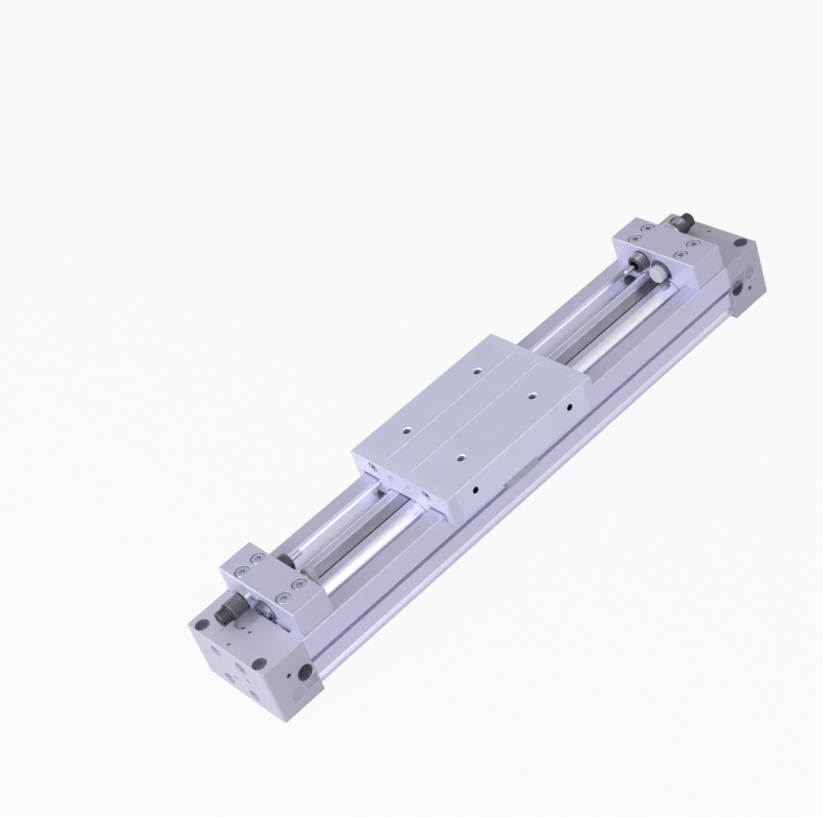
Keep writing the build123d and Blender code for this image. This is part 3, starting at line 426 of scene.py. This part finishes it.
for name, side_x, side_y in (("a", -0.5, -0.5), ("b", -0.5, 0.5), ("c", 0.5, 0.5), ("d", 0.5, -0.5)):
    foot_place = (side_x * foot_pitch["spacing_x_mm"], side_y * foot_pitch["spacing_y_mm"], cover_top)
    for part, profile in foot_sleeves.items():
        sleeve = place_shape(turned_ring(profile), foot_place)
        make_piece(f"foot_{part}_{name}", sleeve, drilled, "cylinder")


# Film tabs: clear polythene film 0.1 mm thick, stuck on the front of each cover beside the port, with a
# ring to pull it by. The casting and the port show through the film, and the ring's folded edge is milky.
def clear_film(name, opacity):
    """Polythene film, cloudy along its fine draw lines, which are drawn 0.8 mm wide so that they show."""
    material = new_material(name)
    place = add(material, "ShaderNodeTexCoord").outputs["Object"]
    density = [1 / (size * mm) for size in (6, 0.8, 0.8)]
    drawn = add(material, "ShaderNodeMapping", {"Scale": density}, {"Vector": place}).outputs[0]
    settings = {"Scale": 1.0, "Detail": 2.0}
    streak = add(material, "ShaderNodeTexNoise", settings, {"Vector": drawn}).outputs["Fac"]
    settings = {"data_type": "RGBA", 6: linear("#E0E0F5"), 7: linear("#F4F4FF")}
    colour = add(material, "ShaderNodeMix", settings, {"Factor": streak}).outputs[2]
    settings = {"To Min": 0.22, "To Max": 0.36}
    gloss = add(material, "ShaderNodeMapRange", settings, {"Value": streak}).outputs[0]
    settings = {"IOR": 1.51, "Alpha": opacity}
    links = {"Base Color": colour, "Roughness": gloss}
    shader = add(material, "ShaderNodeBsdfPrincipled", settings, links).outputs[0]
    add(material, "ShaderNodeOutputMaterial", links={"Surface": shader})
    return material


polythene = clear_film("clear polythene film", opacity=0.2)
folded_film = clear_film("folded polythene edge", opacity=0.95)


def film_tab(name, ring_x, ring_z, ring_radius, strip_low, strip_high, strip_end):
    """A disc whose edge towards the barrel is drawn out into a strip, with a raised rim round the disc."""
    thickness = 0.1
    rim_width = 0.9
    rim_top = 0.3
    middle = (strip_low + strip_high) / 2 - ring_z
    reach = (strip_high - strip_low) / 2 + 0.3
    side = 1 if strip_end > ring_x else -1
    place = (ring_x, cover_front, ring_z)
    shape = bmesh.new()
    bmesh.ops.create_circle(shape, cap_ends=True, radius=ring_radius * mm, segments=36)
    near = [
        edge for edge in shape.edges
        if all(v.co.x * side > 0 and abs(v.co.y - middle * mm) < reach * mm for v in edge.verts)
    ]
    for corner in new_corners(bmesh.ops.extrude_edge_only(shape, edges=near)):
        corner.co.x = (strip_end - ring_x) * mm
    upper = new_corners(bmesh.ops.extrude_face_region(shape, geom=shape.faces[:]))
    bmesh.ops.translate(shape, verts=upper, vec=(0, 0, thickness * mm))
    make_piece(name, place_shape(shape, place, face_front), polythene, "cylinder")
    rim_inside = ring_radius - rim_width
    lower = [(rim_inside, thickness), (ring_radius, thickness)]
    raised = [(ring_radius, rim_top), (rim_inside, rim_top)]
    rim = place_shape(turned_ring(lower + raised), place, face_front)
    make_piece(name + "_rim", rim, folded_film, "cylinder")


film_tab(
    "film_tab_left", ring_x=-162.8, ring_z=10.3, ring_radius=4.75,
    strip_low=8.0, strip_high=13.5, strip_end=-150.1,
)
film_tab(
    "film_tab_right", ring_x=164.5, ring_z=20.5, ring_radius=4.5,
    strip_low=18.0, strip_high=24.0, strip_end=150.1,
)


# Screws: steel with bright zinc plating, turned heads and pressed hexagon sockets.
# Plating is smooth, so only a faint unevenness breaks the gloss.
zinc_steel = finish(
    "bright zinc plated steel", "#CACBDA", edge_highlight="#F2F2FA", metallic=0.85, roughness=0.25,
    grain=(0.6, 0.6, 0.6), contrast=0.05, relief=0.01, edge=0.15,
)
screw_names = both_ends(
    "head_cover_screws", "holder_screws", "end_plate_screws", "end_plugs", "port_plug",
    "adjusting_bolt", "stop_lock_nut", "shock_lock_nut",
)
finish_nodes(zinc_steel, *screw_names)


# Small screws: black oxide steel, for the belt clamps, the cushion needles and the guide shoe.
# The oxide is thin and oiled, so the little heads look almost black in their holes.
# This material also lines the table's side holes in black as painted shade.
black_oxide_and_hole_shade = finish(
    "oiled black oxide steel and hole shade", "#2A2A2F", edge_highlight="#4A4A50", metallic=0.5, roughness=0.4,
    grain=(0.5, 0.5, 0.5), contrast=0.1, relief=0.02, edge=0.1,
)
finish_nodes(black_oxide_and_hole_shade, "bearing_screws", *both_ends("belt_clamp_screws", "cushion_needles"))


# Stroke adjusting units: a milled aluminium holder at each end, clear anodised, screwed down on two blocks
# that grip the guide grooves. The milling cutter leaves faint rows across, and the edges carry a painted
# highlight.
milled_holder = finish(
    "milled anodised aluminium", "#D4D3EA", edge_highlight="#F6F6FC", metallic=0.40, roughness=0.38,
    grain=(0.6, 14, 0.6), contrast=0.04, relief=0.02, edge=0.35,
)
finish_nodes(milled_holder, *both_ends("adjuster_holder", "fixing_blocks"))


# Shock absorbers: steel tubes with an M10 x 1 thread, black zinc plated and rubbed grey on the crests.
# The ridge runs from the holder to the table's side, and from the lock nut to the plain tail outside.
black_zinc = finish(
    "black zinc plated steel", "#4A4A4E", edge_highlight="#84848A", metallic=0.7, roughness=0.38,
    grain=(0.6, 0.6, 0.6), contrast=0.15, relief=0.03, edge=0.25,
)
finish_nodes(black_zinc, *both_ends("shock_absorber_body"))
rubbed_crest = finish(
    "rubbed black zinc crest", "#909096", edge_highlight="#B0B0B6", metallic=0.8, roughness=0.32,
    grain=(0.5, 0.5, 0.5), contrast=0.15, relief=0.02, edge=0.1,
)
along_x = Matrix.Rotation(math.radians(90), 4, "Y")
absorber_y = 8.9
absorber_z = 41.0
absorber_root = 4.75
absorber_crest = 5.15
absorber_pitch = 1.0
absorber_threads = {
    "shock_thread_left_inner": (-128.4, -122.9),
    "shock_thread_left_outer": (-161.4, -152.6),
    "shock_thread_right_inner": (124.1, 129.6),
    "shock_thread_right_outer": (153.8, 162.6),
}
for name, (low, high) in absorber_threads.items():
    ridge = thread_ridge(high - low, absorber_root, absorber_crest, absorber_pitch)
    place_shape(ridge, (low, absorber_y, absorber_z), along_x)
    make_piece(name, ridge, rubbed_crest, "cylinder")


# Stop bumpers: cast urethane, milky and half clear, pressed on the heads of the stop bolts.
# Light passes into their rims, so they look paler there than in the middle.
def cast_urethane(name):
    """Milky urethane with a fine cloud in it, of flecks about 1.4 mm wide."""
    material = new_material(name)
    place = add(material, "ShaderNodeTexCoord").outputs["Object"]
    settings = {"Scale": 700.0, "Detail": 3.0}
    cloud = add(material, "ShaderNodeTexNoise", settings, {"Vector": place}).outputs["Fac"]
    settings = {"data_type": "RGBA", 6: linear("#F2F2F8"), 7: linear("#FFFFFF")}
    colour = add(material, "ShaderNodeMix", settings, {"Factor": cloud}).outputs[2]
    settings = {"To Min": 0.04, "To Max": 0.12}
    gloss = add(material, "ShaderNodeMapRange", settings, {"Value": cloud}).outputs[0]
    rounded = add(material, "ShaderNodeBevel", {"samples": 4, "Radius": 0.4 * mm}).outputs[0]
    settings = {"IOR": 1.5, "Transmission Weight": 0.3}
    links = {"Base Color": colour, "Roughness": gloss, "Normal": rounded}
    shader = add(material, "ShaderNodeBsdfPrincipled", settings, links).outputs[0]
    add(material, "ShaderNodeOutputMaterial", links={"Surface": shader})
    return material


finish_nodes(cast_urethane("milky cast urethane"), *both_ends("stop_bumper"))


# Table: a milled aluminium slide, clear anodised, 100 mm long, that the yoke pulls along.
# Two fine lines run along its top, lightened with a painted highlight.
line_places = (13.1, -4.8)
line_half_width = 0.35


def painted_highlight_lines(material, place):
    """One within half a line's width of either line, and nought elsewhere."""
    across = add(material, "ShaderNodeSeparateXYZ", links={0: place}).outputs["Y"]
    masks = {}
    for number, line in enumerate(line_places):
        settings = {"operation": "COMPARE", 1: line * mm, 2: line_half_width * mm}
        masks[number] = add(material, "ShaderNodeMath", settings, {0: across}).outputs[0]
    return add(material, "ShaderNodeMath", {"operation": "MAXIMUM"}, masks).outputs[0]


milled_table = finish(
    "satin anodised table", "#E3E5FC", edge_highlight="#F8F8FF", metallic=0.45, roughness=0.36,
    grain=(60, 0.7, 0.7), contrast=0.04, relief=0.015, edge=0.35, bright_mask=painted_highlight_lines,
)
finish_nodes(milled_table, "slide_table")


# Table holes: four M5 threads in its top for the load, lined in darker grey as painted shade, with a turned
# chamfer that carries a painted highlight ring, and two holes in its front side, lined in black as painted
# shade, that reach the screws of the guide shoe.
# Painted highlight: the ring over the chamfer and round the hole's mouth is lighter than the table.
chamfer_highlight = finish(
    "turned chamfer painted highlight", "#ECECF6", edge_highlight="#FDFDFF", metallic=0.6, roughness=0.25,
    grain=(0.4, 0.4, 0.4), contrast=0.04, relief=0.01, edge=0.1,
)
# Painted shade: the linings darken the tapped holes to grey.
tapped = finish(
    "tapped hole lining in painted shade", "#8A8A96", edge_highlight="#B4B4C0", metallic=0.7, roughness=0.35,
    grain=(0.4, 0.4, 0.4), contrast=0.1, relief=0.01, edge=0.1,
)
table_bolts = mounts["table_bolts"]["dims"]
table_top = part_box("slide_table")[1].z / mm
table_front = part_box("slide_table")[0].y / mm
thread_start = 0.45
thread_depth = 8.4
thread_pitch = 0.8
chamfer_ring = [
    (1.92, -0.60), (2.08, -0.44), (2.50, 0.0), (2.80, 0.0), (2.80, 0.02), (2.50, 0.04), (1.92, -0.54),
]
for name, side_x, side_y in (("a", -0.5, -0.5), ("b", 0.5, -0.5), ("c", 0.5, 0.5), ("d", -0.5, 0.5)):
    hole_x = table_x + side_x * table_bolts["spacing_x_mm"]
    hole_y = side_y * table_bolts["spacing_y_mm"]
    threaded_hole(
        f"table_hole_{name}", (hole_x, hole_y, table_top - thread_start), Matrix.Identity(4),
        radius=table_bolts["hole_r_mm"], depth=thread_depth, pitch=thread_pitch,
        material=tapped, body="carriage",
    )
    rim = place_shape(turned_ring(chamfer_ring), (hole_x, hole_y, table_top))
    make_piece(f"table_hole_rim_{name}", rim, chamfer_highlight, "carriage")
side_hole_x = 33.0
side_hole_z = 39.0
side_lining = [(1.58, -1.95), (1.58, 0.0), (1.85, 0.0), (1.85, 0.03), (1.5, 0.0), (1.5, -1.95)]
# Painted shade: a black sleeve darkens each side hole.
for end, side in (("left", -1), ("right", 1)):
    side_hole_place = (table_x + side * side_hole_x, table_front, side_hole_z)
    sleeve = place_shape(turned_ring(side_lining), side_hole_place, face_front)
    make_piece(f"side_hole_lining_{end}", sleeve, black_oxide_and_hole_shade, "carriage")


# End plates: zinc castings, tumbled and chromated, screwed on both ends of the table.
# The thin chromate coat dulls the metal to a chalky silver-grey, nearly as bright as the table.
chalky_plate = finish(
    "chromated zinc casting", "#E6E7F9", edge_highlight="#F8F8FF", metallic=0.30, roughness=0.46,
    grain=(0.8, 0.8, 0.8), contrast=0.05, relief=0.05, edge=0.4,
)
finish_nodes(chalky_plate, *both_ends("end_plate"))


# Magnet carrier: a cast bracket screwed under the table's front edge, which holds the magnet at the sensor
# slot. Tumbling leaves it a darker and duller grey than the table.
cast_bracket = finish(
    "tumbled grey casting", "#BEC1D6", edge_highlight="#D6D8E6", metallic=0.3, roughness=0.5,
    grain=(0.7, 0.7, 0.7), contrast=0.06, relief=0.04, edge=0.3,
)
finish_nodes(cast_bracket, "magnet_carrier")


# Floor: a plain pale sheet, wide enough that its edge is out of view.
# It shows as the white background to the camera and in gloss, and still keeps the object's shadow.
floor_half = 3.0
floor_shape = bmesh.new()
bmesh.ops.create_grid(floor_shape, x_segments=1, y_segments=1, size=floor_half)
floor_mesh = bpy.data.meshes.new("floor")
floor_shape.to_mesh(floor_mesh)
floor_shape.free()
floor = bpy.data.objects.new("floor", floor_mesh)
bpy.context.collection.objects.link(floor)


def seen_directly(material):
    """One for rays from the camera, and for those that gloss or glass sends on."""
    ray = add(material, "ShaderNodeLightPath").outputs
    links = {0: ray["Is Camera Ray"], 1: ray["Is Glossy Ray"]}
    seen = add(material, "ShaderNodeMath", {"operation": "MAXIMUM"}, links).outputs[0]
    links = {0: seen, 1: ray["Is Transmission Ray"]}
    return add(material, "ShaderNodeMath", {"operation": "MAXIMUM"}, links).outputs[0]


pale = new_material("pale studio floor")
settings = {"operation": "MULTIPLY", 1: 0.93}
white_share = add(pale, "ShaderNodeMath", settings, {0: seen_directly(pale)}).outputs[0]
sheet = add(pale, "ShaderNodeBsdfDiffuse", {"Color": linear("#BCBCC0")}).outputs[0]
white = add(pale, "ShaderNodeEmission", {"Color": (1, 1, 1, 1), "Strength": 1.0}).outputs[0]
mixed = add(pale, "ShaderNodeMixShader", links={0: white_share, 1: sheet, 2: white}).outputs[0]
add(pale, "ShaderNodeOutputMaterial", links={"Surface": mixed})
floor_mesh.materials.append(pale)


# Studio: a white tent that greys towards its opening, high behind on the right, which flat tops mirror.
# A soft key lamp stands on the left and others in front and behind, and a weak strip lamp hangs high in
# front, whose reflection brightens the guide grooves.
world = bpy.data.worlds.new("studio")
bpy.context.scene.world = world
world.use_nodes = True
world.node_tree.nodes.clear()
studio_light = linear("#F6F7FF")
surround = add(world, "ShaderNodeBackground", {"Color": studio_light, "Strength": 0.37}).outputs[0]
towards = add(world, "ShaderNodeTexCoord").outputs["Generated"]
upwards = add(world, "ShaderNodeSeparateXYZ", links={0: towards}).outputs["Z"]
opening = Vector((0.6, 0.55, 0.6)).normalized()
settings = {"operation": "DOT_PRODUCT", 1: opening}
facing = add(world, "ShaderNodeVectorMath", settings, {0: towards}).outputs["Value"]
near_opening = {"From Min": 0.4, "From Max": 0.95, "To Min": 0.0, "To Max": 0.38}
greyness = add(world, "ShaderNodeMapRange", near_opening, {"Value": facing}).outputs[0]
above_horizon = {"From Min": 0.05, "From Max": 0.35, "To Min": 0.0, "To Max": -1.0}
raised = add(world, "ShaderNodeMapRange", above_horizon, {"Value": upwards}).outputs[0]
settings = {"operation": "MULTIPLY_ADD", 2: 1.0}
brightness = add(world, "ShaderNodeMath", settings, {0: greyness, 1: raised}).outputs[0]
backdrop = add(world, "ShaderNodeBackground", {"Color": (1, 1, 1, 1)}, {"Strength": brightness}).outputs[0]
links = {0: seen_directly(world), 1: surround, 2: backdrop}
mixed = add(world, "ShaderNodeMixShader", links=links).outputs[0]
add(world, "ShaderNodeOutputWorld", links={"Surface": mixed})


def lamp(name, place, aim, width, height, power):
    """A rectangular soft lamp that faces a point."""
    light = bpy.data.lights.new(name, "AREA")
    light.shape = "RECTANGLE"
    light.size = width
    light.size_y = height
    light.energy = power
    light.color = studio_light[:3]
    stand = bpy.data.objects.new(name, light)
    bpy.context.collection.objects.link(stand)
    direction = Vector(aim) - Vector(place)
    stand.matrix_world = Matrix.Translation(place) @ direction.to_track_quat("-Z", "Y").to_matrix().to_4x4()


lamp("key", place=(-1.5, 0.2, 0.9), aim=(0, 0, 0), width=1.0, height=1.0, power=14)
lamp("strip", place=(0.14, -0.50, 1.22), aim=(0.14, 0, 0), width=0.45, height=1.3, power=0.9)
lamp("front", place=(-0.62, -0.95, 0.42), aim=(-0.1, 0, 0), width=0.8, height=0.8, power=2.6)
lamp("back", place=(-0.9, 1.4, 0.5), aim=(0, 0, 0), width=1.0, height=1.0, power=3)


# Camera: a long lens from the front left, turned about its own axis as in the photograph.
# Its place, direction and focal length come from a fit to the corners that the photograph shows.
camera_place = Vector((-394.43, -637.86, 633.41)) * mm
camera_azimuth = math.radians(-29.32)
camera_elevation = math.radians(37.47)
camera_roll = math.radians(21.2)
focal_pixels = 1938.1
photo_width = 823
camera_data = bpy.data.cameras.new("camera")
camera_data.sensor_width = 36.0
camera_data.lens = focal_pixels / photo_width * camera_data.sensor_width
camera = bpy.data.objects.new("camera", camera_data)
bpy.context.collection.objects.link(camera)
turn = Matrix.Rotation(camera_azimuth, 4, "Z") @ Matrix.Rotation(math.pi / 2 - camera_elevation, 4, "X")
camera.matrix_world = Matrix.Translation(camera_place) @ turn @ Matrix.Rotation(-camera_roll, 4, "Z")
bpy.context.scene.camera = camera
bpy.context.scene.view_settings.view_transform = "Standard"
